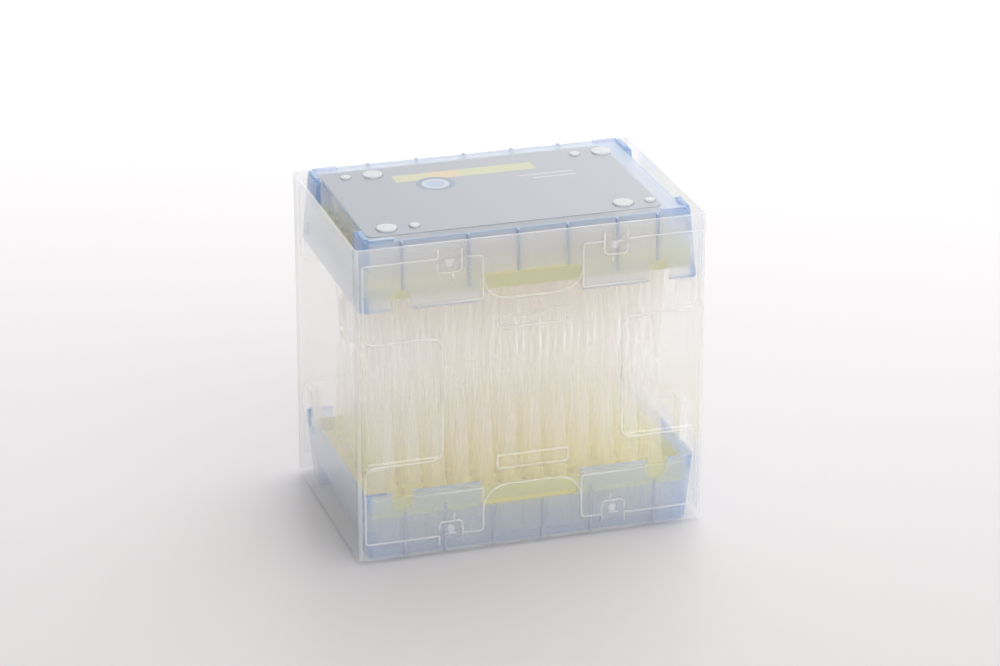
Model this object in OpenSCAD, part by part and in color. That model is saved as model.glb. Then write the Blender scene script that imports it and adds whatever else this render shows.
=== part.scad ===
// Refill pack of pipette tips: two identical loaded trays, face to face in a clear sleeve.
// Frame: +X along the long side, -Y is the front, +Z up, origin under the middle of the pack.

/* [Sleeve] */
// Outer width of the sleeve (plate footprint, long side)
sleeve_w = 127.76; // [122:0.01:154]
// Outer depth of the sleeve (plate footprint, short side)
sleeve_d = 85.48; // [80:0.01:103]
// Wall thickness of the sleeve
sleeve_wall = 0.8; // [0.6:0.1:1]
// Outside radius of the sleeve's upright corners
sleeve_corner_r = 2.5; // [1.5:0.5:4]
// How far a tray's foot plane stands out past the sleeve's end
tray_proud = 1.6; // [1:0.1:3]

/* [Finger notch in the sleeve] */
// Width of the notch in the middle of each long edge
notch_w = 30; // [20:1:36]
// Depth of the notch
notch_depth = 20; // [12:1:24]
// Radius of the notch's inner corners
notch_r = 6; // [2:1:8]

/* [Embossing on the sleeve] */
// Height of the raised lines
bead_h = 0.35; // [0.2:0.05:0.5]
// Width of the raised lines
bead_w = 0.9; // [0.6:0.1:1.5]
// Distance of the raised line round a notch from the notch's edge
notch_bead = 3; // [2:0.5:4]
// Width of each sunk panel
panel_w = 27; // [20:1:30]
// Distance of a sunk panel's end from the feet of the nearer tray
panel_end = 35.4; // [30:0.1:38]
// Depth of each sunk panel
panel_sink = 0.35; // [0.2:0.05:0.4]
// Distance of the panels' and latches' middles from the sleeve's side
panel_inset = 16.5; // [15:0.5:20]
// Width of the plaque beside each notch
plaque_w = 28; // [16:1:34]
// Height of the raised frame round each latch
tab_h = 17.2; // [14:0.2:20]
// Distance of that frame from the sleeve's end
tab_from_end = 5.6; // [2:0.1:7]

/* [Snap latch] */
// Width of the latch boss
latch_w = 9; // [6:0.5:11]
// Height of the latch boss
latch_h = 7; // [5:0.5:9]
// Distance of the latch from the middle of the long side
latch_x = 30; // [26:0.5:34]
// Distance of the latch from the sleeve's end
latch_from_end = 8; // [7:0.5:12]
// Diameter of the snap bump inside the latch
bump_d = 3; // [2:0.5:4]
// How far the snap bump stands into the sleeve
bump_in = 0.45; // [0.2:0.05:0.6]

/* [Tray] */
// Height of a tray, from its feet to its open rim
tray_h = 25.6; // [24:0.1:31]
// Wall and floor thickness of a tray
tray_wall = 1.2; // [0.9:0.1:1.4]
// Room between the sleeve's inside and a tray's rim, at each long side
tray_gap = 0.94; // [0.7:0.01:1.3]
// Extra room at each short side
tray_gap_ends = 0.64; // [0.3:0.01:1]
// Flare of the wall, from the closed face to the rim
tray_flare = 2; // [1:0.1:2.5]
// Outside radius of a tray's upright corners
tray_corner_r = 3; // [2:0.5:4]
// Height of the corner feet and studs
foot_h = 0.8; // [0.5:0.1:1.2]
// Height of the grip recess at each short side, from the closed face
grip_depth = 10; // [6:0.5:10]
// Length of the grip recess
grip_l = 52; // [24:1:56]
// Room between the end collars and the wall of the grip recess
grip_room = 2.3; // [0.3:0.1:2.6]
// Thickness of the upright ribs on the long walls
rib_t = 0.9; // [0.6:0.1:1.4]
// Spacing of the upright ribs
rib_pitch = 18; // [16:1:18]
// Width of the window in the middle of a tray's long wall
window_w = 37; // [24:1:44]
// Width of the thumb arch near each end of a tray's long wall
arch_w = 7.6; // [5:0.2:9]
// Distance of the thumb arch from the middle
arch_x = 47; // [44:0.5:49]

/* [Tip plate] */
// Distance from a tray's feet to the face that carries the collars
deck_z = 15.3; // [15:0.1:18]
// Thickness of the deck
deck_t = 1.6; // [1.2:0.1:2]
// Depth of the plate's skirt, deck included
skirt_h = 7; // [5:0.5:8]
// Thickness of the plate's skirt
skirt_t = 1.2; // [0.8:0.1:1.4]
// Room between the plate's skirt and the tray's wall
plate_gap = 0.3; // [0.2:0.05:0.6]
// Room around a tip in its hole
hole_gap = 0.2; // [0.1:0.05:0.4]

/* [Tips] */
// Spacing of the tips
pitch = 9; // [8.4:0.1:9]
// Length of a tip
tip_l = 56.6; // [46:0.1:70]
// Outside diameter of the collar
collar_d = 7.6; // [6.3:0.01:8]
// Width of the shoulder under the collar
shoulder_w = 0.8; // [0.6:0.1:1]
// Room left between facing points, measured for one side
facing_room = 0.95; // [0.5:0.05:3]
// Outside diameter at the point
point_d = 1.2; // [1:0.1:2]
// Wall thickness of a tip's body
tip_wall = 0.55; // [0.4:0.05:0.6]

/* [Label] */
// Width of the label film on the upper closed face
label_w = 107; // [105.5:0.1:107]
// Distance of the label's middle from the pack's middle, to the left
label_left = 3; // [0:0.1:3]
// Depth of the label film
label_d = 67; // [65:0.5:68]
// Thickness of the label film
label_t = 0.15; // [0.1:0.05:0.3]
// Room between the label and a stud
label_gap = 0.4; // [0.2:0.1:0.6]

/* [Hidden] */

columns = 12;
rows = 8;
eps = 0.01;      // overlap that keeps joined shapes one solid
cut = 1;         // how far a cutter runs past a face
seat_gap = 0.05; // running room where one piece rests on another
collar_room = 0.3; // room between a collar and the tray
fine = 48;       // facets that stand for a full circle in previews

// Sleeve: as tall as two tips end to end, with their floors and the room between the points
floor_in = foot_h + tray_wall;
collar_z = floor_in + collar_room;
tip_end = collar_z + tip_l;
total_h = 2 * (tip_end + facing_room);
sleeve_h = total_h - 2 * tray_proud;
panel_h = total_h - 2 * panel_end;
in_w = sleeve_w - 2 * sleeve_wall;
in_d = sleeve_d - 2 * sleeve_wall;

// Tray: half sizes at the rim and at the closed face
rim_x = in_w / 2 - tray_gap - tray_gap_ends;
rim_y = in_d / 2 - tray_gap;
face_x = rim_x - tray_flare;
face_y = rim_y - tray_flare;
function half_x(z) = face_x + tray_flare * (z - foot_h) / (tray_h - foot_h);
function half_y(z) = face_y + tray_flare * (z - foot_h) / (tray_h - foot_h);
ledge_w = 1.5;
ledge_t = 1.5;
window_sill = 0.6;   // how far the window's sill stands past the deck's outer face
arch_sill = 1;       // how far an arch's sill stands past the deck
arch_depth = tray_h - deck_z - deck_t - arch_sill;
window_depth = tray_h - deck_z - window_sill;
grip_x = (columns - 1) / 2 * pitch + collar_d / 2 + grip_room + tray_wall;
grip_w = rim_x - grip_x + cut;
rib_out = rim_y;
rib_short = 6;       // how far a rib stops short of the rim
rib_end = tray_h - rib_short;
ribs_front = [-2.57, -1.75, -0.75, 0.25, 1.25, 2.57];  // rib places, in spacings
ribs_back = [-2, -1, 0, 1, 2];
post_l = 9;      // leg length of a corner foot
stud_x = [38, 48];
stud_y = 27;
stud_d = [3.5, 7];
slot_w = 3.5;
slot_h = 5;
slot_in = 7;     // distance of a slot's middle from the end of the closed face
slot_y = face_y - slot_in;
foot_t = 1.6;
foot_in = 0.6;   // distance of a foot's outer side from the edge of the closed face
foot_start = 2;  // distance of a foot's outer end from the edge

// Stops inside the sleeve: they rest on the lower tray's rim and carry the upper tray's rim
stop_bite = 1.2;                     // how far a stop reaches over a rim
stop_w = 6;
stop_h = 10;
stop_from_corner = 5;
side_stop_from_corner = 17;
side_stop_h = 15;
stop_z = tray_h + seat_gap;
stop_x = rim_x - stop_from_corner;
side_stop_y = rim_y - side_stop_from_corner;
stop_in_y = tray_gap + stop_bite;
stop_in_x = tray_gap + tray_gap_ends + stop_bite;

// Tip plate
plate_x = half_x(deck_z) - tray_wall - plate_gap;
plate_y = half_y(deck_z) - tray_wall - plate_gap;

// Tips
collar_l = deck_z - collar_z - seat_gap;
body_d = collar_d - 2 * shoulder_w;
shoulder_l = 1.2;     // height of the step inside the collar
collar_wall = 0.8;
point_wall = 0.3;
draft = 0.1;          // how much the collar's bore and the body's root narrow
bend_share = 0.55;    // where the body's taper steepens, as a share of its length
bend_r_share = 0.66;  // radius there, as a share of the root's

// Colours
clear_c = [0.92, 0.94, 0.96, 0.35];
blue_c = [0.62, 0.74, 0.9, 0.8];
yellow_c = [0.86, 0.85, 0.5];
tip_c = [0.9, 0.89, 0.86, 0.9];
label_c = [0.74, 0.76, 0.79];

// Points of a rounded rectangle centred on the origin
function corner_points(cx, cy, r, from, steps = 6) =
    [for (i = [0 : steps]) [cx + r * cos(from + 90 * i / steps), cy + r * sin(from + 90 * i / steps)]];
function rounded_points(hx, hy, r) = concat(
    corner_points(hx - r, hy - r, r, 0), corner_points(r - hx, hy - r, r, 90),
    corner_points(r - hx, r - hy, r, 180), corner_points(hx - r, r - hy, r, 270));

module rounded_slab(hx, hy, r, h) {
    linear_extrude(height = h) polygon(rounded_points(hx, hy, r));
}

// A block given by its middle in X and Y and its lowest Z
module block(cx, cy, z, w, d, h) {
    translate([cx - w / 2, cy - d / 2, z]) cube([w, d, h]);
}

// A rounded plate standing against the front wall: outer face at y_out, thickness t inwards
module front_plate(cx, cz, w, h, r, y_out, t) {
    translate([cx, y_out + t, cz]) rotate([90, 0, 0]) rounded_slab(w / 2, h / 2, r, t);
}

// The same shape on the front and, turned about Z, on the back
module front_and_back() {
    for (turn = [0, 180]) rotate([0, 0, turn]) children();
}

// The same shape at the lower end and, turned about Y, at the upper end
module both_ends() {
    children();
    translate([0, 0, total_h]) rotate([0, 180, 0]) children();
}

// A raised outline of a rounded rectangle on the front wall
module front_frame(cx, cz, w, h, r) {
    difference() {
        front_plate(cx, cz, w, h, r, -sleeve_d / 2 - bead_h, bead_h + sleeve_wall / 2);
        front_plate(cx, cz, w - 2 * bead_w, h - 2 * bead_w, r - bead_w / 2,
            -sleeve_d / 2 - bead_h - cut, bead_h + cut);
    }
}

// Raised lines, plaque and latch boss of one end, front side
module end_emboss() {
    tab_x0 = notch_w / 2 + notch_bead;
    tab_x1 = sleeve_w / 2 - sleeve_corner_r;
    tab_z = tray_proud + tab_from_end + tab_h / 2;
    for (side = [-1, 1]) {
        front_frame(side * (tab_x0 + tab_x1) / 2, tab_z, tab_x1 - tab_x0, tab_h, 3);
        front_plate(side * latch_x, tray_proud + latch_from_end, latch_w, latch_h, 1.5,
            -sleeve_d / 2 - bead_h, bead_h + sleeve_wall / 2);
    }
    front_frame(0, tray_proud + notch_depth + notch_bead + 5, plaque_w, 6, 2);
    intersection() {
        front_frame(0, tray_proud, notch_w + 2 * notch_bead, 2 * (notch_depth + notch_bead),
            notch_r + notch_bead);
        block(0, -sleeve_d / 2, tray_proud, sleeve_w, sleeve_wall + 2 * bead_h, sleeve_h / 2);
    }
}

// Stop pockets of one end: positive blocks, or the room cut out of them from outside
module end_stops(hollow) {
    t = hollow ? 0 : sleeve_wall;
    over = hollow ? cut : -sleeve_wall / 2;
    block(-stop_x, -sleeve_d / 2 + (stop_in_y + t - over) / 2 , stop_z + sleeve_wall - t,
        stop_w + 2 * t - 2 * sleeve_wall, stop_in_y + t + over, stop_h + 2 * t - 2 * sleeve_wall);
    block(-sleeve_w / 2 + (stop_in_x + t - over) / 2, side_stop_y, stop_z + sleeve_wall - t,
        stop_in_x + t + over, stop_w + 2 * t - 2 * sleeve_wall, side_stop_h + 2 * t - 2 * sleeve_wall);
}

// Finger notch: rounded inner corners, open past the sleeve's end
module notch_cutter() {
    translate([0, 0, tray_proud]) rotate([90, 0, 0]) translate([0, 0, -sleeve_d / 2 - cut])
        linear_extrude(height = sleeve_d + 2 * cut)
            translate([0, notch_depth / 2 - cut - notch_r])
                polygon(rounded_points(notch_w / 2, notch_depth / 2 + cut + notch_r, notch_r));
}

module snap_bump() {
    translate([0, -in_d / 2 - sleeve_wall / 2, tray_proud + latch_from_end]) rotate([-90, 0, 0])
        cylinder(d = bump_d, h = sleeve_wall / 2 + bump_in, $fn = fine);
}

module sleeve() {
    color(clear_c) difference() {
        union() {
            difference() {
                union() {
                    translate([0, 0, tray_proud])
                        rounded_slab(sleeve_w / 2, sleeve_d / 2, sleeve_corner_r, sleeve_h);
                    both_ends() front_and_back() end_emboss();
                }
                translate([0, 0, tray_proud - cut])
                    rounded_slab(in_w / 2, in_d / 2, sleeve_corner_r - sleeve_wall, sleeve_h + 2 * cut);
                front_and_back() for (side = [-1, 1])
                    front_plate(side * (sleeve_w / 2 - panel_inset), total_h / 2, panel_w, panel_h, 4,
                        -sleeve_d / 2 - cut, panel_sink + cut);
            }
            both_ends() front_and_back() end_stops(false);
            both_ends() front_and_back() for (side = [-1, 1])
                translate([side * latch_x, 0, 0]) snap_bump();
        }
        both_ends() front_and_back() end_stops(true);
        both_ends() notch_cutter();
    }
}

// Drafted block of a tray, from z0 to z1, pushed in by the given wall thickness
module tray_block(z0, z1, inset) {
    hull() {
        translate([0, 0, z0])
            rounded_slab(half_x(z0) - inset, half_y(z0) - inset, tray_corner_r - inset, eps);
        translate([0, 0, z1 - eps])
            rounded_slab(half_x(z1) - inset, half_y(z1) - inset, tray_corner_r - inset, eps);
    }
}

// Corner feet: an L at each corner of the closed face
module corner_feet() {
    for (sx = [-1, 1]) for (sy = [-1, 1]) {
        block(sx * (face_x - foot_in - foot_t / 2), sy * (face_y - foot_start - post_l / 2), 0,
            foot_t, post_l, foot_h + eps);
        block(sx * (face_x - foot_start - post_l / 2), sy * (face_y - foot_in - foot_t / 2), 0,
            post_l, foot_t, foot_h + eps);
    }
}

module studs() {
    for (sx = [-1, 1]) for (sy = [-1, 1]) for (i = [0, 1])
        translate([sx * stud_x[i], sy * stud_y, 0])
            cylinder(d = stud_d[sx * sy < 0 ? i : 1 - i], h = foot_h + eps, $fn = fine);
}

module tray_ribs() {
    depth = rib_out - face_y + tray_wall / 2;
    for (place = ribs_front)
        block(place * rib_pitch, -rib_out + depth / 2, foot_h, rib_t, depth, rib_end - foot_h);
    for (place = ribs_back)
        block(place * rib_pitch, rib_out - depth / 2, foot_h, rib_t, depth, rib_end - foot_h);
}

// Arch cut in a long wall, open at the rim
module arch_cutter(cx, w, depth, r) {
    z0 = tray_h - depth;
    translate([cx, 0, 0]) rotate([90, 0, 0]) translate([0, 0, -rim_y - cut])
        linear_extrude(height = 2 * (rim_y + cut))
            translate([0, z0 + (depth + cut) / 2 + r / 2])
                polygon(rounded_points(w / 2, (depth + cut) / 2 + r / 2, r));
}

// One tray, feet down at z = 0 and open at the top
module tray() {
    difference() {
        union() {
            difference() {
                union() {
                    tray_block(foot_h, tray_h, 0);
                    tray_ribs();
                }
                difference() {
                    tray_block(floor_in, tray_h + 2 * eps, tray_wall);
                    for (sx = [-1, 1])
                        block(sx * (grip_x - tray_wall + grip_w / 2), 0, 0, grip_w,
                            grip_l + 2 * tray_wall, grip_depth + tray_wall);
                }
                for (sx = [-1, 1])
                    block(sx * (grip_x + grip_w / 2), 0, -cut, grip_w, grip_l, grip_depth + cut);
            }
            corner_feet();
            studs();
            tray_ledge();
        }
        arch_cutter(0, window_w, window_depth, 3);
        for (sx = [-1, 1]) {
            arch_cutter(sx * arch_x, arch_w, arch_depth, arch_w / 2 - eps);
            for (sy = [-1, 1])
                block(sx * rim_x, sy * slot_y, deck_z + deck_t + arch_sill, 8, slot_w, slot_h);
        }
    }
}

// Shoulder round the inside on which the tip plate's deck sits
module tray_ledge() {
    z = deck_z - seat_gap - ledge_t;
    hx = half_x(z) - tray_wall / 2;
    hy = half_y(z) - tray_wall / 2;
    difference() {
        translate([0, 0, z]) rounded_slab(hx, hy, tray_corner_r - tray_wall / 2, ledge_t);
        translate([0, 0, z - cut]) rounded_slab(hx - tray_wall / 2 - ledge_w, hy - tray_wall / 2 - ledge_w,
            tray_corner_r - tray_wall / 2, ledge_t + 2 * cut);
    }
}

// One tip plate in its tray: deck with a hole for each tip, and a skirt towards the points
module tip_plate() {
    hole_d = body_d + 2 * hole_gap;
    difference() {
        translate([0, 0, deck_z]) rounded_slab(plate_x, plate_y, tray_corner_r - tray_wall, skirt_h);
        translate([0, 0, deck_z + deck_t])
            rounded_slab(plate_x - skirt_t, plate_y - skirt_t, tray_corner_r - tray_wall, skirt_h);
        for (c = [0 : columns - 1]) for (r = [0 : rows - 1])
            translate([(c - (columns - 1) / 2) * pitch, (r - (rows - 1) / 2) * pitch, deck_z - cut])
                cylinder(d = hole_d, h = deck_t + 2 * cut, $fn = fine);
    }
}

// One tip in its tray, collar down: a turned tube with a shoulder under the collar
module tip() {
    r_collar = collar_d / 2;
    r_body = body_d / 2;
    r_point = point_d / 2;
    z_shoulder = collar_z + collar_l;
    z_mid = z_shoulder + (tip_end - z_shoulder) * bend_share;
    r_mid = r_body * bend_r_share;
    rotate_extrude($fn = fine) polygon([
        [r_collar - collar_wall, collar_z], [r_collar, collar_z], [r_collar, z_shoulder],
        [r_body, z_shoulder], [r_body - draft, z_shoulder + 4], [r_mid, z_mid], [r_point, tip_end],
        [r_point - point_wall, tip_end], [r_mid - tip_wall, z_mid], [r_body - tip_wall - draft, z_shoulder + 4],
        [r_body - tip_wall, z_shoulder - shoulder_l], [r_collar - collar_wall - draft, z_shoulder - 4]]);
}

module tips_column(i) {
    for (r = [0 : rows - 1])
        translate([(i - (columns - 1) / 2) * pitch, (r - (rows - 1) / 2) * pitch, 0]) tip();
}

module in_upper_place() {
    translate([0, 0, total_h]) rotate([0, 180, 0]) children();
}

module lower_tray() {
    color(blue_c) tray();
}

module upper_tray() {
    color(blue_c) in_upper_place() tray();
}

module lower_tip_plate() {
    color(yellow_c) tip_plate();
}

module upper_tip_plate() {
    color(yellow_c) in_upper_place() tip_plate();
}

// Film on the upper closed face, with clearance holes round the studs
module upper_label() {
    color(label_c) difference() {
        translate([-label_left, 0, total_h - foot_h]) rounded_slab(label_w / 2, label_d / 2, 3, label_t);
        for (sx = [-1, 1]) for (sy = [-1, 1]) for (i = [0, 1])
            translate([sx * stud_x[i], sy * stud_y, total_h - foot_h - cut])
                cylinder(d = stud_d[sx * sy > 0 ? i : 1 - i] + 2 * label_gap, h = label_t + 2 * cut,
                    $fn = fine);
    }
}

module lower_column(i) {
    color(tip_c) tips_column(i);
}

// Numbered from the same side as the lower columns
module upper_column(i) {
    color(tip_c) in_upper_place() tips_column(columns - 1 - i);
}

sleeve();
upper_tray();
upper_label();
upper_tip_plate();
lower_tray();
lower_tip_plate();
upper_column(0);  // upper_tips_column_01
upper_column(1);  // upper_tips_column_02
upper_column(2);  // upper_tips_column_03
upper_column(3);  // upper_tips_column_04
upper_column(4);  // upper_tips_column_05
upper_column(5);  // upper_tips_column_06
upper_column(6);  // upper_tips_column_07
upper_column(7);  // upper_tips_column_08
upper_column(8);  // upper_tips_column_09
upper_column(9);  // upper_tips_column_10
upper_column(10);  // upper_tips_column_11
upper_column(11);  // upper_tips_column_12
lower_column(0);  // lower_tips_column_01
lower_column(1);  // lower_tips_column_02
lower_column(2);  // lower_tips_column_03
lower_column(3);  // lower_tips_column_04
lower_column(4);  // lower_tips_column_05
lower_column(5);  // lower_tips_column_06
lower_column(6);  // lower_tips_column_07
lower_column(7);  // lower_tips_column_08
lower_column(8);  // lower_tips_column_09
lower_column(9);  // lower_tips_column_10
lower_column(10);  // lower_tips_column_11
lower_column(11);  // lower_tips_column_12
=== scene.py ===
import math

import bmesh
import bpy
from mathutils import Matrix, Vector


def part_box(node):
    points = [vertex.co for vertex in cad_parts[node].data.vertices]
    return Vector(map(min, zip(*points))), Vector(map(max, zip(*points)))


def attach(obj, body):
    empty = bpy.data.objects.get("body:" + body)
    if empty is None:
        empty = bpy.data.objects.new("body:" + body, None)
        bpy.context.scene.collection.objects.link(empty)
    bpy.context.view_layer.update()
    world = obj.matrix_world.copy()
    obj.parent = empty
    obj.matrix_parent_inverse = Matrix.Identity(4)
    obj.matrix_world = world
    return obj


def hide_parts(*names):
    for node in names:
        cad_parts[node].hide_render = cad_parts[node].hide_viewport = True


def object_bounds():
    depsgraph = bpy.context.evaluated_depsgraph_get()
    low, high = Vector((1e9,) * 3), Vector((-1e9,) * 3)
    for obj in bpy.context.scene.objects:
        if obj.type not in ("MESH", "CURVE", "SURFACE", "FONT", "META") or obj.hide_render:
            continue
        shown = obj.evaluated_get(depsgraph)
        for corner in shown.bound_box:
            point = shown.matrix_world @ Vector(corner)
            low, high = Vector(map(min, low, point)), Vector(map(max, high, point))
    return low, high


# A refill pack of pipette tips: a clear sleeve round two loaded trays that face each other.
# The upper end is the lower end turned half round, so most heights count from the nearer end
# of the pack. Lengths are in metres, apart from the raised lines and the print, which are
# given in millimetres.

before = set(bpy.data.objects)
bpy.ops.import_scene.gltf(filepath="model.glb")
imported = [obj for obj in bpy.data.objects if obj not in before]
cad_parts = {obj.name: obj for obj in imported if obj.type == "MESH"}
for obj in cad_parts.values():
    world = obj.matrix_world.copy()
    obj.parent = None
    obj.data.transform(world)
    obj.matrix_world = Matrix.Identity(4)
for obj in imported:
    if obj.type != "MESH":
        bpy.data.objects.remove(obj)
cad_low, cad_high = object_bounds()

MM = 0.001
HALF_TURN = math.pi
CUT_TOLERANCE = 1e-7                     # corners nearer than this are one when a face is cut
WELD_TOLERANCE = 1e-6                    # the same for the finished shell
SAME_WAY = 0.9                           # least cosine for a face that looks a given way

# ---------------------------------------------------------------- places, from the frame
sleeve_low, sleeve_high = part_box("sleeve")
_, tray_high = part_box("lower_tray")
_, label_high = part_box("upper_label")

PACK_TOP = cad_high.z
PACK_MID = PACK_TOP / 2

LINE_RISE = 0.35 * MM                    # how far a raised line stands out of the sleeve
LINE_R = 0.45 * MM                       # and its rounding
SLEEVE_X = sleeve_high.x - 0.02 * MM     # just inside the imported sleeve
SLEEVE_Y = sleeve_high.y - LINE_RISE
SLEEVE_FOOT = sleeve_low.z
SLEEVE_TOP = sleeve_high.z
SLEEVE_H = SLEEVE_TOP - SLEEVE_FOOT
SLEEVE_WALL = 0.8 * MM
SLEEVE_CORNER_R = 2.5 * MM
SNAP_X, SNAP_RISE = 30 * MM, 8 * MM      # the snap bumps, from the middle and the sleeve's foot

NOTCH_HALF = 15 * MM
NOTCH_TOP = SLEEVE_FOOT + 20 * MM
NOTCH_R = 6 * MM
NOTCH_LIP_R = 4 * MM                     # rounding where the notch meets the sleeve's end

POCKET_FOOT = tray_high.z + 0.05 * MM    # the pockets rest on the tray's rim
POCKET_HALF = 3 * MM
POCKET_BORDER = 0.4 * MM
LONG_POCKET_X, LONG_POCKET_H, LONG_POCKET_DEPTH = 56.5 * MM, 10 * MM, 2.1 * MM
SHORT_POCKET_Y, SHORT_POCKET_H, SHORT_POCKET_DEPTH = 24 * MM, 15 * MM, 2.7 * MM

TRAY_X, TRAY_Y, TRAY_H = tray_high
TRAY_FOOT = 0.8 * MM                     # height of the closed face above the feet
TRAY_DRAFT = 2 * MM                      # how much wider the rim is than the closed face
RIB_END = TRAY_H - 6 * MM
STUD_FOOT = PACK_TOP - label_high.z - 0.05 * MM      # only the studs and feet pass the label

# Raised lines of the long walls, in millimetres from the middle and from the pack's end.
TAB_X, TAB_FOOT, TAB_TOP = 18.2, 7.8, 24
PANEL_X, PANEL_OUT, PANEL_FOOT = 33, 61.2, 36.8
LATCH_X, LATCH_OUT, LATCH_FOOT, LATCH_TOP = 25.9, 34.4, 4.4, 12.9

CAMERA_YAW = math.radians(17.28)
CAMERA_PITCH = math.radians(22.14)


# ---------------------------------------------------------------- shader maths
class Value:
    """A shader socket that adds its own Math nodes when it is used in an expression."""

    def __init__(self, tree, socket):
        self.tree = tree
        self.socket = socket

    def math(self, operation, *others):
        node = self.tree.nodes.new("ShaderNodeMath")
        node.operation = operation
        for slot, item in zip(node.inputs, (self, *others)):
            if isinstance(item, Value):
                self.tree.links.new(item.socket, slot)
            else:
                slot.default_value = item
        return Value(self.tree, node.outputs[0])

    def __add__(self, other):
        return self.math("ADD", other)

    def __radd__(self, other):
        return self.math("ADD", other)

    def __sub__(self, other):
        return self.math("SUBTRACT", other)

    def __rsub__(self, other):
        return self.math("MULTIPLY", -1.0).math("ADD", other)

    def __mul__(self, other):
        return self.math("MULTIPLY", other)

    def __rmul__(self, other):
        return self.math("MULTIPLY", other)

    def __truediv__(self, other):
        return self.math("DIVIDE", other)

    def __pow__(self, other):
        return self.math("POWER", other)

    def __abs__(self):
        return self.math("ABSOLUTE")

    def below(self, limit):
        return self.math("LESS_THAN", limit)

    def above(self, limit):
        return self.math("GREATER_THAN", limit)

    def between(self, low, high):
        return self.above(low) * self.below(high)

    def largest(self, other):
        return self.math("MAXIMUM", other)

    def ramp(self, start, end):
        """0 before start, 1 after end, and even in between."""
        node = self.tree.nodes.new("ShaderNodeMapRange")
        self.tree.links.new(self.socket, node.inputs["Value"])
        node.inputs["From Min"].default_value = start
        node.inputs["From Max"].default_value = end
        return Value(self.tree, node.outputs["Result"])


class Finish:
    """One material: its node tree, with short ways to add what the finishes here need."""

    def __init__(self, name):
        self.material = bpy.data.materials.new(name)
        self.material.use_nodes = True
        self.tree = self.material.node_tree
        self.tree.nodes.clear()
        self.output = self.add("ShaderNodeOutputMaterial")
        self.place = self.add("ShaderNodeTexCoord").outputs["Object"]

    def add(self, kind, settings=None, **inputs):
        node = self.tree.nodes.new(kind)
        for key, value in (settings or {}).items():
            setattr(node, key, value)
        for key, value in inputs.items():
            self.feed(node.inputs[key.replace("_", " ")], value)
        return node

    def feed(self, slot, value):
        if isinstance(value, Value):
            self.tree.links.new(value.socket, slot)
        elif isinstance(value, bpy.types.NodeSocket):
            self.tree.links.new(value, slot)
        else:
            slot.default_value = value

    def axes(self):
        split = self.add("ShaderNodeSeparateXYZ", Vector=self.place)
        return [Value(self.tree, split.outputs[i]) for i in range(3)]

    def blend(self, amount, low, high):
        """Colour low where amount is 0 and high where it is 1."""
        node = self.add("ShaderNodeMix", {"data_type": "RGBA"}, Factor=amount)
        first, second = node.inputs[6], node.inputs[7]     # a Mix node's two colour sockets
        self.feed(first, low)
        self.feed(second, high)
        return node.outputs[2]

    def mix(self, amount, first, second):
        node = self.tree.nodes.new("ShaderNodeMixShader")
        for slot, value in zip(node.inputs, (amount, first, second)):
            self.feed(slot, value)
        return node.outputs[0]

    def facing(self):
        """0 where a face is seen head on, 1 where it is seen edge on."""
        return Value(self.tree, self.add("ShaderNodeLayerWeight", Blend=0.5).outputs["Facing"])

    def mirroring(self):
        """How much a face mirrors: little head on, all at a glancing angle."""
        head_on = 0.04
        return self.facing() ** 5.0 * (1.0 - head_on) + head_on

    def finish(self, shader):
        self.feed(self.output.inputs["Surface"], shader)
        return self.material


def rgb(red, green, blue):
    return (red, green, blue, 1.0)


def see_through(name, colour, haze, glow=0.5, roughness=None):
    """Clear or milky plastic.

    haze is how much of the light a face stops and colours, and glow how much of that it lets
    on to its far side. Colour and haze may be functions of the Finish. Without a roughness
    the plastic is matt.
    """
    f = Finish(name)
    tint = colour(f) if callable(colour) else colour
    clear = f.add("ShaderNodeBsdfTransparent", Color=rgb(1, 1, 1)).outputs[0]
    body = f.add("ShaderNodeBsdfPrincipled", Base_Color=tint, Roughness=0.5,
                 Specular_IOR_Level=0.0)
    lit_through = f.add("ShaderNodeBsdfTranslucent", Color=tint)
    milky = f.mix(glow, body.outputs[0], lit_through.outputs[0])
    through = f.mix(haze(f) if callable(haze) else haze, clear, milky)
    if roughness is None:
        return f.finish(through)
    shine = f.add("ShaderNodeBsdfGlossy", Color=rgb(1, 1, 1), Roughness=roughness)
    return f.finish(f.mix(f.mirroring(), through, shine.outputs[0]))


def from_end(z):
    """Height over the nearer end of the pack."""
    return PACK_MID - abs(z - PACK_MID)


# ---------------------------------------------------------------- finishes
def frosted(f):
    """Haze of the sleeve's front and back walls, with a little more in their panels and tabs."""
    wall_haze, patch_haze = 0.15, 0.03
    patch_out, tab_foot, wall_depth = 61 * MM, 7.7 * MM, 1.2 * MM
    x, y, z = f.axes()
    out, up = abs(x), from_end(z)
    wall = abs(y).above(SLEEVE_Y - wall_depth)
    panel = out.between(PANEL_X * MM, patch_out) * up.above(PANEL_FOOT * MM)
    tab = out.between(TAB_X * MM, patch_out) * up.between(tab_foot, TAB_TOP * MM)
    return wall * wall_haze + wall * panel.largest(tab) * patch_haze


def painted_highlight(f):
    """Painted highlight where the sleeve is bent or cut: 1 in its pockets, most in its corners,
    some along its top end.
    """
    in_corner, at_end = 1.8, 0.4
    corner_reach, end_h, pocket_floor = 1.7 * MM, 0.5 * MM, 1.4 * MM
    x, y, z = f.axes()
    corner = (abs(x) - SLEEVE_X + abs(y) - SLEEVE_Y).above(-corner_reach)
    top_end = z.above(SLEEVE_TOP - end_h)
    pocket = abs(x).below(SLEEVE_X - pocket_floor) * abs(y).below(SLEEVE_Y - pocket_floor)
    return (corner * in_corner).largest(top_end * at_end).largest(pocket)


def clear_plastic():
    """The sleeve's sheet, milkier where it is seen edge on."""
    base, edge_on, narrowness, white = 0.045, 0.3, 8.0, 0.25

    def haze(f):
        at_edges = f.facing() ** narrowness * edge_on
        # painted highlight: extra white haze in the sleeve's corners, along its top end and in its
        # pockets
        return at_edges + frosted(f) + painted_highlight(f) * white + base
    return see_through("clear_plastic", rgb(0.97, 0.965, 0.97), haze, roughness=0.06)


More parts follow.
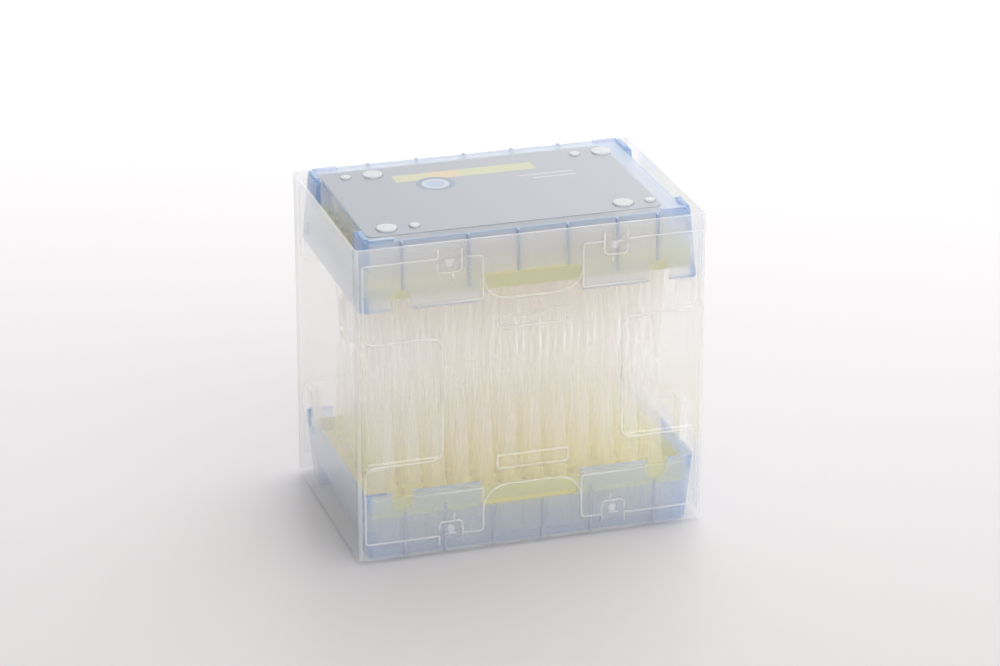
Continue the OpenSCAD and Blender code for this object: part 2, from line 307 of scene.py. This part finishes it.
def raised_plastic_painted_highlight():
    """The same sheet where its lines and bumps are thick, made whiter there as a painted highlight.
    """
    # painted highlight: the white haze makes the raised lines and snap bumps read as bright glints
    return see_through("raised_plastic_painted_highlight", rgb(1.0, 1.0, 1.0), haze=0.38, roughness=0.12)


def thick_parts(f):
    """How deep the trays' blue is: 1 in the grips' end walls and the upright corners, less in the
    short end walls, partly as painted shade.
    """
    post_x, post_y, post_top = 56.8 * MM, 25.8 * MM, 10.5 * MM   # the posts beside a grip
    fade, end_wall_t = 0.6 * MM, 2 * MM
    feet_x, feet_y = 56.5 * MM, 38 * MM                          # the feet stand outside these
    foot_top, foot_end = 2.4 * MM, 1.2 * MM
    face_h = STUD_FOOT + 3 * MM
    short_wall_x, short_wall_t = 58.5 * MM, 1.5 * MM
    x, y, z = f.axes()
    out_x, out_y, up = abs(x), abs(y), from_end(z)
    beside_grip = out_x.ramp(post_x, post_x + fade) * out_y.ramp(post_y, post_y + fade)
    post = beside_grip * up.below(post_top)
    end_wall = post * out_y.below(post_y + end_wall_t)
    near_corner = out_x / TRAY_X * 0.5 + out_y / TRAY_Y * 0.5    # 1 at an upright corner
    corner = near_corner.ramp(0.962, 0.978)
    rim = up.ramp(TRAY_H - MM, TRAY_H)
    foot = up.ramp(foot_top, foot_end) * out_x.above(feet_x).largest(out_y.above(feet_y))
    closed_face = up.below(face_h)
    # painted shade, partly real thickness: the short end walls are made deeper blue and hazier
    short_wall_painted_shade = out_x.ramp(short_wall_x, short_wall_x + short_wall_t)
    depth = end_wall.largest(corner)
    for part, share in ((post, 0.6), (rim, 0.6), (foot, 0.5), (closed_face, 0.2),
                        (short_wall_painted_shade, 0.45)):
        depth = depth.largest(part * share)
    return depth


def studs(f):
    """1 on the round studs of the closed faces, where a white glint is painted."""
    studs_x, studs_y = 54 * MM, 36 * MM              # the studs stand inside, the feet outside
    x, y, z = f.axes()
    return from_end(z).below(STUD_FOOT) * abs(x).below(studs_x) * abs(y).below(studs_y)


def ribs(f):
    """1 in the upright ribs, which stand out from the drafted long walls."""
    least_rise, past_end = 0.15 * MM, 0.1 * MM
    _, y, z = f.axes()
    up = from_end(z)
    slope = TRAY_DRAFT / (TRAY_H - TRAY_FOOT)
    wall_y = (up - TRAY_FOOT) * slope + (TRAY_Y - TRAY_DRAFT)
    stands_out = (abs(y) - wall_y).above(least_rise)
    return stands_out * up.between(TRAY_FOOT + past_end, RIB_END + past_end)


def blue_plastic():
    """The trays: painted paler above the pack's middle, deep blue where thick, painted white glints
    on the studs.
    """
    shaded_lower_blue, lit_upper_blue = rgb(0.57, 0.72, 1.0), rgb(0.82, 0.87, 0.99)
    deep_blue = rgb(0.09, 0.35, 0.76)
    rib_blue = rgb(0.36, 0.46, 0.64)
    painted_stud_glint = rgb(0.93, 0.95, 0.98)
    thin_haze, thick_haze, stud_glint_haze = 0.31, 0.46, 0.55

    def tint(f):
        _, _, z = f.axes()
        # painted light: one plastic, paler in the upper tray as if lit more, darker in the lower as
        # if shaded by the floor
        thin = f.blend(z.ramp(PACK_MID, PACK_MID + MM), shaded_lower_blue, lit_upper_blue)
        wall = f.blend(thick_parts(f), thin, deep_blue)
        ribbed = f.blend(ribs(f), wall, rib_blue)
        # painted highlight: the studs are white as a glint, not in their own blue
        return f.blend(studs(f), ribbed, painted_stud_glint)

    def haze(f):
        return thick_parts(f).largest(ribs(f)) * thick_haze + studs(f) * stud_glint_haze + thin_haze
    return see_through("blue_plastic", tint, haze, glow=0.55, roughness=0.12)


def yellow_plastic():
    """The tip plates: their decks clear yellow, their skirts duller as painted shade."""
    deck_yellow, shaded_skirt_yellow = rgb(1.0, 0.935, 0.25), rgb(0.73, 0.75, 0.36)
    skirt_foot = 17.2 * MM

    def tint(f):
        _, _, z = f.axes()
        # painted shade: the skirts are the same yellow plastic, darkened towards olive
        return f.blend(from_end(z).above(skirt_foot), deck_yellow, shaded_skirt_yellow)
    return see_through("yellow_plastic", tint, haze=0.68, glow=0.55, roughness=0.3)


def tip_plastic():
    """The tips: matt and milky; darker and warmer in the upper tray as painted shade and painted
    reflected light, and yellow by the lower plate as painted reflected light.
    """
    lower_white, shaded_warm_upper_white = rgb(0.985, 0.955, 0.92), rgb(0.965, 0.915, 0.87)
    painted_plate_light_yellow = rgb(1.0, 0.95, 0.54)
    deck, yellow_full, yellow_end = 16.5 * MM, 18 * MM, 38 * MM
    warm_start, warm_full = 80 * MM, 88 * MM
    base, edge_on = 0.19, 0.20

    def tint(f):
        _, _, z = f.axes()
        # painted reflected light: yellow from the lower plate on the tips, fading upwards
        near_plate = z.ramp(yellow_end, yellow_full) * z.above(deck)
        # painted shade and painted reflected light: the upper tips are darker and warmer, as if
        # shaded and lit by the yellow plate
        white = f.blend(z.ramp(warm_start, warm_full), lower_white, shaded_warm_upper_white)
        return f.blend(near_plate, white, painted_plate_light_yellow)

    def haze(f):
        return f.facing() ** 2.0 * edge_on + base
    return see_through("tip_plastic", tint, haze)


def label_print():
    """Grey film, lighter towards the right as painted light, with a plain colour stripe, a plain
    round field and two pale bars.
    """
    shaded_left_grey, lit_right_grey = rgb(0.36, 0.38, 0.43), rgb(0.44, 0.46, 0.50)
    left_end, right_end = -60 * MM, 50 * MM
    dot_x, dot_y = -19 * MM, 12 * MM

    def tint(f):
        x, y, _ = f.axes()

        def field(left, right, near, far):
            return x.between(left * MM, right * MM) * y.between(near * MM, far * MM)
        bars = field(12, 32, 10.4, 11.6).largest(field(16, 32, 7, 8.2))
        from_dot = ((x - dot_x) ** 2.0 + (y - dot_y) ** 2.0) ** 0.5
        # painted light: the film is one grey, darker at the left and lighter at the right
        colour = f.blend(x.ramp(left_end, right_end), shaded_left_grey, lit_right_grey)
        for where, ink in ((field(-32, 20, 17, 24), rgb(0.58, 0.58, 0.39)),
                           (field(-19, -8, 17, 24), rgb(0.66, 0.55, 0.36)),
                           (bars, rgb(0.56, 0.58, 0.62)),
                           (from_dot.below(7 * MM), rgb(0.27, 0.32, 0.41)),
                           (from_dot.below(5 * MM), rgb(0.55, 0.58, 0.64)),
                           (from_dot.below(3.4 * MM), rgb(0.42, 0.50, 0.66))):
            colour = f.blend(where, colour, ink)
        return colour
    return see_through("label_print", tint, haze=0.96, glow=0.1, roughness=0.3)


def dress(names, material):
    for name in names:
        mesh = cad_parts[name].data
        mesh.materials.clear()
        mesh.materials.append(material)


# ---------------------------------------------------------------- modelling helpers
def everything(bm):
    return list(bm.verts) + list(bm.edges) + list(bm.faces)


def make_object(name, bm, material):
    mesh = bpy.data.meshes.new(name)
    bm.to_mesh(mesh)
    bm.free()
    mesh.materials.append(material)
    piece = bpy.data.objects.new(name, mesh)
    bpy.context.scene.collection.objects.link(piece)
    return piece


def cut(bm, point, normal, faces):
    """Cut the given faces by a plane, and keep both sides."""
    edges = {edge for face in faces for edge in face.edges}
    corners = {vert for face in faces for vert in face.verts}
    bmesh.ops.bisect_plane(bm, geom=list(corners) + list(edges) + faces, plane_co=point,
                           plane_no=normal, dist=CUT_TOLERANCE)


def faces_looking(bm, out):
    return [face for face in bm.faces if face.normal.dot(out) > SAME_WAY]


def faces_in(bm, low, high, out):
    """Faces that look in the direction out, with their middle between two corners."""
    return [face for face in faces_looking(bm, out)
            if all(low[i] < face.calc_center_median()[i] < high[i] for i in range(3))]


def turned_end_for_end():
    """The matrix that takes the lower end to the upper end: half a turn about the pack's middle."""
    middle = Vector((0, 0, PACK_MID))
    half_turn = Matrix.Rotation(HALF_TURN, 4, "Y")
    return Matrix.Translation(middle) @ half_turn @ Matrix.Translation(-middle)


def rounded_path(corners):
    """Points along a path given as (x, z, rounding radius) corners."""
    points = []
    steps = 5
    for i, (x, z, radius) in enumerate(corners):
        here = Vector((x, z))
        if radius == 0 or i in (0, len(corners) - 1):
            points.append(here)
            continue
        back = (Vector(corners[i - 1][:2]) - here).normalized()
        ahead = (Vector(corners[i + 1][:2]) - here).normalized()
        half = back.angle(ahead) / 2
        centre = here + (back + ahead).normalized() * radius / math.sin(half)
        start = here + back * radius / math.tan(half) - centre
        turn = start.angle_signed(here + ahead * radius / math.tan(half) - centre)
        for step in range(steps + 1):
            spot = start.copy()
            spot.rotate(Matrix.Rotation(-turn * step / steps, 2))
            points.append(centre + spot)
    return points


# ---------------------------------------------------------------- sleeve
def round_notch(bm, side):
    """Cut the lower end's finger notch out of one long wall, with rounded inner corners."""
    steps = 6
    out = Vector((0, side, 0))
    wall_y = side * SLEEVE_Y
    low = (-NOTCH_HALF, wall_y - MM, SLEEVE_FOOT - MM)
    high = (NOTCH_HALF, wall_y + MM, NOTCH_TOP)
    tangents = []
    for hand in (-1, 1):
        centre = Vector((hand * (NOTCH_HALF - NOTCH_R), wall_y, NOTCH_TOP - NOTCH_R))
        for step in range(steps + 1):
            angle = math.radians(90) * step / steps
            outward = Vector((hand * math.cos(angle), 0, math.sin(angle)))
            tangents.append((centre + outward * NOTCH_R, outward))
    for point, outward in tangents:
        cut(bm, point, outward, faces_in(bm, low, high, out))
    gone = [face for face in faces_in(bm, low, high, out)
            if all((face.calc_center_median() - point).dot(outward) < 0
                   for point, outward in tangents)]
    bmesh.ops.delete(bm, geom=gone, context="FACES")


def sleeve_walls():
    """An open box with rounded upright corners."""
    bm = bmesh.new()
    bmesh.ops.create_cube(bm, size=1.0)
    ends = [face for face in bm.faces if abs(face.normal.z) > SAME_WAY]
    bmesh.ops.delete(bm, geom=ends, context="FACES_ONLY")
    bmesh.ops.scale(bm, vec=(2 * SLEEVE_X, 2 * SLEEVE_Y, SLEEVE_H), verts=bm.verts)
    bmesh.ops.translate(bm, vec=(0, 0, SLEEVE_FOOT + SLEEVE_H / 2), verts=bm.verts)
    upright = [e for e in bm.edges if abs(e.verts[0].co.z - e.verts[1].co.z) > MM]
    bmesh.ops.bevel(bm, geom=upright, offset=SLEEVE_CORNER_R, offset_type="OFFSET", segments=6,
                    profile=0.5, affect="EDGES", material=-1)
    return bm


def sink(bm, low, high, out, border, depth):
    """Push a patch of wall in, with sloping sides."""
    for axis in range(3):
        if abs(out[axis]) > 0.5:
            continue
        normal = Vector([1.0 if i == axis else 0.0 for i in range(3)])
        for corner in (low, high):
            cut(bm, Vector(corner), normal, faces_looking(bm, out))
    bmesh.ops.inset_region(bm, faces=faces_in(bm, low, high, out), thickness=border,
                           depth=-depth, use_boundary=True, use_even_offset=True)


def sleeve_end(bm):
    """Notches, long-side pockets and short-side pockets of the lower end."""
    for side in (-1, 1):
        round_notch(bm, side)
    for hand in (-1, 1):
        at_x, at_y = hand * LONG_POCKET_X, hand * SLEEVE_Y
        sink(bm, (at_x - POCKET_HALF, at_y - MM, POCKET_FOOT),
             (at_x + POCKET_HALF, at_y + MM, POCKET_FOOT + LONG_POCKET_H),
             Vector((0, hand, 0)), POCKET_BORDER, LONG_POCKET_DEPTH)
        at_x, at_y = hand * SLEEVE_X, -hand * SHORT_POCKET_Y
        sink(bm, (at_x - MM, at_y - POCKET_HALF, POCKET_FOOT),
             (at_x + MM, at_y + POCKET_HALF, POCKET_FOOT + SHORT_POCKET_H),
             Vector((hand, 0, 0)), POCKET_BORDER, SHORT_POCKET_DEPTH)


def sleeve_panels(bm):
    """Four shallow sunk panels, two on each long wall."""
    inner, outer, foot = 34 * MM, 60.2 * MM, 37.8 * MM
    border, depth = 0.6 * MM, 0.3 * MM
    for side in (-1, 1):
        wall_y = side * SLEEVE_Y
        for hand in (-1, 1):
            left, right = sorted((hand * inner, hand * outer))
            sink(bm, (left, wall_y - MM, foot), (right, wall_y + MM, PACK_TOP - foot),
                 Vector((0, side, 0)), border, depth)


def make_sleeve(material):
    """The clear shell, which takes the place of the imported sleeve."""
    bm = sleeve_walls()
    sleeve_end(bm)
    bmesh.ops.transform(bm, matrix=turned_end_for_end(), verts=bm.verts)
    sleeve_end(bm)
    sleeve_panels(bm)
    near = 0.01 * MM
    lips = [v for v in bm.verts if abs(abs(v.co.x) - NOTCH_HALF) < near
            and (v.co.z < SLEEVE_FOOT + near or v.co.z > SLEEVE_TOP - near)]
    bmesh.ops.bevel(bm, geom=lips, offset=NOTCH_LIP_R, offset_type="OFFSET", segments=5,
                    profile=0.5, affect="VERTICES", material=-1)
    bmesh.ops.remove_doubles(bm, verts=bm.verts, dist=WELD_TOLERANCE)
    piece = make_object("clear_sleeve_shell", bm, material)
    wall = piece.modifiers.new("wall", "SOLIDIFY")
    wall.thickness = SLEEVE_WALL
    wall.solidify_mode = "NON_MANIFOLD"
    wall.nonmanifold_thickness_mode = "CONSTRAINTS"
    wall.offset = -1.0
    rounding = piece.modifiers.new("rounding", "BEVEL")
    rounding.width = 0.2 * MM
    rounding.segments = 2
    rounding.limit_method = "ANGLE"
    rounding.angle_limit = math.radians(50)
    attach(piece, "sleeve")
    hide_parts("sleeve")


def lower_end_lines():
    """Raised lines of the lower end's front, as (x, z, radius) corners in millimetres."""
    middle = PACK_MID / MM
    arch_foot, arch_top, arch_r = 15.6, 24.6, 8.9
    half, foot, top, gap = 13, 30.8, 35.8, 0.1
    arch = [(TAB_X, arch_foot, 0), (TAB_X, arch_top, arch_r),
            (-TAB_X, arch_top, arch_r), (-TAB_X, arch_foot, 0)]
    plain_frame = [(gap, foot, 0), (half, foot, 1), (half, top, 1),
                   (-half, top, 1), (-half, foot, 1), (-gap, foot, 0)]
    panel = [(PANEL_X, middle, 0), (PANEL_X, PANEL_FOOT, 4), (PANEL_OUT, PANEL_FOOT, 3.7),
             (PANEL_OUT, 7.6, 1), (LATCH_OUT, 7.6, 0.5), (LATCH_OUT, LATCH_FOOT, 0)]
    tab = [(43, TAB_TOP, 0), (TAB_X, TAB_TOP, 1.2), (TAB_X, TAB_FOOT, 1.4), (25.7, TAB_FOOT, 0)]
    latch = [(LATCH_X, LATCH_FOOT, 0), (LATCH_X, LATCH_TOP, 1.6),
             (LATCH_OUT, LATCH_TOP, 1.6), (LATCH_OUT, 9.4, 0)]
    nub = [(29, 13.2, 0), (29, 16, 0)]
    catch = [(28.2, 8.3, 0), (32.4, 8.3, 0)]
    sides = [[(hand * x, z, radius) for x, z, radius in line]
             for hand in (-1, 1) for line in (panel, tab, latch, nub, catch)]
    return [arch, plain_frame] + sides


def raised_line_mesh(paths, out_y):
    """Half-round bars that lie on the front wall along the given paths."""
    sunk = 0.01 * MM                                 # how far a bar's flat back is in the wall
    curve = bpy.data.curves.new("line_path", "CURVE")
    curve.dimensions = "3D"
    curve.bevel_depth = LINE_R
    curve.bevel_resolution = 2
    curve.use_fill_caps = True
    for path in paths:
        spline = curve.splines.new("POLY")
        spline.points.add(len(path) - 1)
        for point, (x, z) in zip(spline.points, path):
            point.co = (x * MM, out_y - LINE_RISE + LINE_R, z * MM, 1.0)
    holder = bpy.data.objects.new("line_path", curve)
    mesh = bpy.data.meshes.new_from_object(holder)
    bm = bmesh.new()
    bm.from_mesh(mesh)
    bpy.data.objects.remove(holder)
    bpy.data.curves.remove(curve)
    bpy.data.meshes.remove(mesh)
    bmesh.ops.remove_doubles(bm, verts=bm.verts, dist=CUT_TOLERANCE)
    bmesh.ops.bisect_plane(bm, geom=everything(bm), plane_co=(0, out_y - sunk, 0),
                           plane_no=(0, 1, 0), clear_outer=True)
    bmesh.ops.holes_fill(bm, edges=[e for e in bm.edges if e.is_boundary])
    return bm


def add_snap_bump(bm, x, z):
    """The small flat dome inside the front wall that holds a tray."""
    radius, flatness = 1.5 * MM, 0.3
    made = bmesh.ops.create_uvsphere(bm, u_segments=16, v_segments=8, radius=radius)["verts"]
    bmesh.ops.scale(bm, vec=(1, flatness, 1), verts=made)
    bmesh.ops.translate(bm, vec=(x, SLEEVE_WALL - SLEEVE_Y, z), verts=made)


def make_sleeve_lines(material):
    """The raised lines and snap bumps of both ends, front and back, as one piece."""
    bm = raised_line_mesh([rounded_path(line) for line in lower_end_lines()], -SLEEVE_Y)
    for hand in (-1, 1):
        add_snap_bump(bm, hand * SNAP_X, SLEEVE_FOOT + SNAP_RISE)
    for matrix in (turned_end_for_end(), Matrix.Rotation(HALF_TURN, 4, "Z")):
        copied = bmesh.ops.duplicate(bm, geom=everything(bm))["geom"]
        corners = [item for item in copied if isinstance(item, bmesh.types.BMVert)]
        bmesh.ops.transform(bm, matrix=matrix, verts=corners)
    bmesh.ops.recalc_face_normals(bm, faces=bm.faces)
    piece = make_object("sleeve_raised_lines", bm, material)
    for face in piece.data.polygons:
        face.use_smooth = len(face.vertices) == 4
    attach(piece, "sleeve")


# ---------------------------------------------------------------- stage
def make_floor():
    """White card with painted shade that falls off to grey towards the camera."""
    front, object_back, far = -0.30, 0.05, 0.60
    shaded_front_grey, shaded_back_grey = rgb(0.585, 0.565, 0.555), rgb(0.715, 0.69, 0.705)
    lit_far_white = rgb(0.97, 0.96, 0.965)
    bm = bmesh.new()
    bmesh.ops.create_grid(bm, x_segments=1, y_segments=1, size=4.0)
    f = Finish("floor_card")
    x, y, _ = f.axes()
    depth = x * math.sin(CAMERA_YAW) + y * math.cos(CAMERA_YAW)
    # painted shade: one white card, greyer the nearer it lies to the camera
    grey = f.blend(depth.ramp(front, object_back), shaded_front_grey, shaded_back_grey)
    tint = f.blend(depth.ramp(object_back, far), grey, lit_far_white)
    body = f.add("ShaderNodeBsdfPrincipled", Base_Color=tint, Roughness=0.4,
                 Specular_IOR_Level=0.3)
    make_object("floor", bm, f.finish(body.outputs[0]))


def make_studio():
    """A white room without lamps, brighter at the back right and front right than at the left."""
    room = 0.66
    patches = (((0.75, 0.8, 1.0), 5.0, 1.85),        # direction, narrowness, added strength
               ((0.45, -1.3, 0.34), 5.0, 1.85),
               ((-1.0, -0.1, 0.05), 3.0, -0.42))
    scene = bpy.context.scene
    world = bpy.data.worlds.new("studio")
    scene.world = world
    world.use_nodes = True
    tree = world.node_tree
    towards = tree.nodes.new("ShaderNodeTexCoord").outputs["Generated"]
    strength = room
    for direction, narrowness, added in patches:
        dot = tree.nodes.new("ShaderNodeVectorMath")
        dot.operation = "DOT_PRODUCT"
        tree.links.new(towards, dot.inputs[0])
        dot.inputs[1].default_value = Vector(direction).normalized()
        near = Value(tree, dot.outputs["Value"]).largest(0.0)
        strength = near ** narrowness * added + strength
    tree.links.new(strength.socket, tree.nodes["Background"].inputs["Strength"])
    tree.nodes["Background"].inputs["Color"].default_value = rgb(1, 1, 1)
    world.cycles.sampling_method = "NONE"            # soft light needs no rays aimed at it
    scene.view_settings.view_transform = "Standard"


def make_camera():
    """The camera looks a little to the right of the pack's middle and above it."""
    yaw, pitch = CAMERA_YAW, CAMERA_PITCH
    distance = 1.340
    aside, above = 1.19 * MM, 3.97 * MM
    forward = Vector((math.sin(yaw) * math.cos(pitch), math.cos(yaw) * math.cos(pitch),
                      -math.sin(pitch)))
    right = Vector((math.cos(yaw), -math.sin(yaw), 0.0))
    centre = Vector((0, 0, PACK_MID)) + right * aside + right.cross(forward) * above
    camera = bpy.data.cameras.new("camera")
    camera.sensor_width = 36.0
    camera.lens = 134.1
    holder = bpy.data.objects.new("camera", camera)
    bpy.context.scene.collection.objects.link(holder)
    holder.location = centre - forward * distance
    holder.rotation_mode = "QUATERNION"
    holder.rotation_quaternion = forward.to_track_quat("-Z", "Y")
    bpy.context.scene.camera = holder


def allow_for_clear_walls():
    """Let a ray cross the dozens of clear faces that lie behind each other here."""
    cycles = bpy.context.scene.cycles
    cycles.transparent_max_bounces = 64
    cycles.max_bounces = 12
    cycles.diffuse_bounces = 8


make_camera()
make_studio()
make_floor()
allow_for_clear_walls()

make_sleeve(clear_plastic())
make_sleeve_lines(raised_plastic_painted_highlight())
dress(["upper_tray", "lower_tray"], blue_plastic())
dress(["upper_tip_plate", "lower_tip_plate"], yellow_plastic())
dress(["upper_label"], label_print())
dress([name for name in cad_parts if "tips_column" in name], tip_plastic())
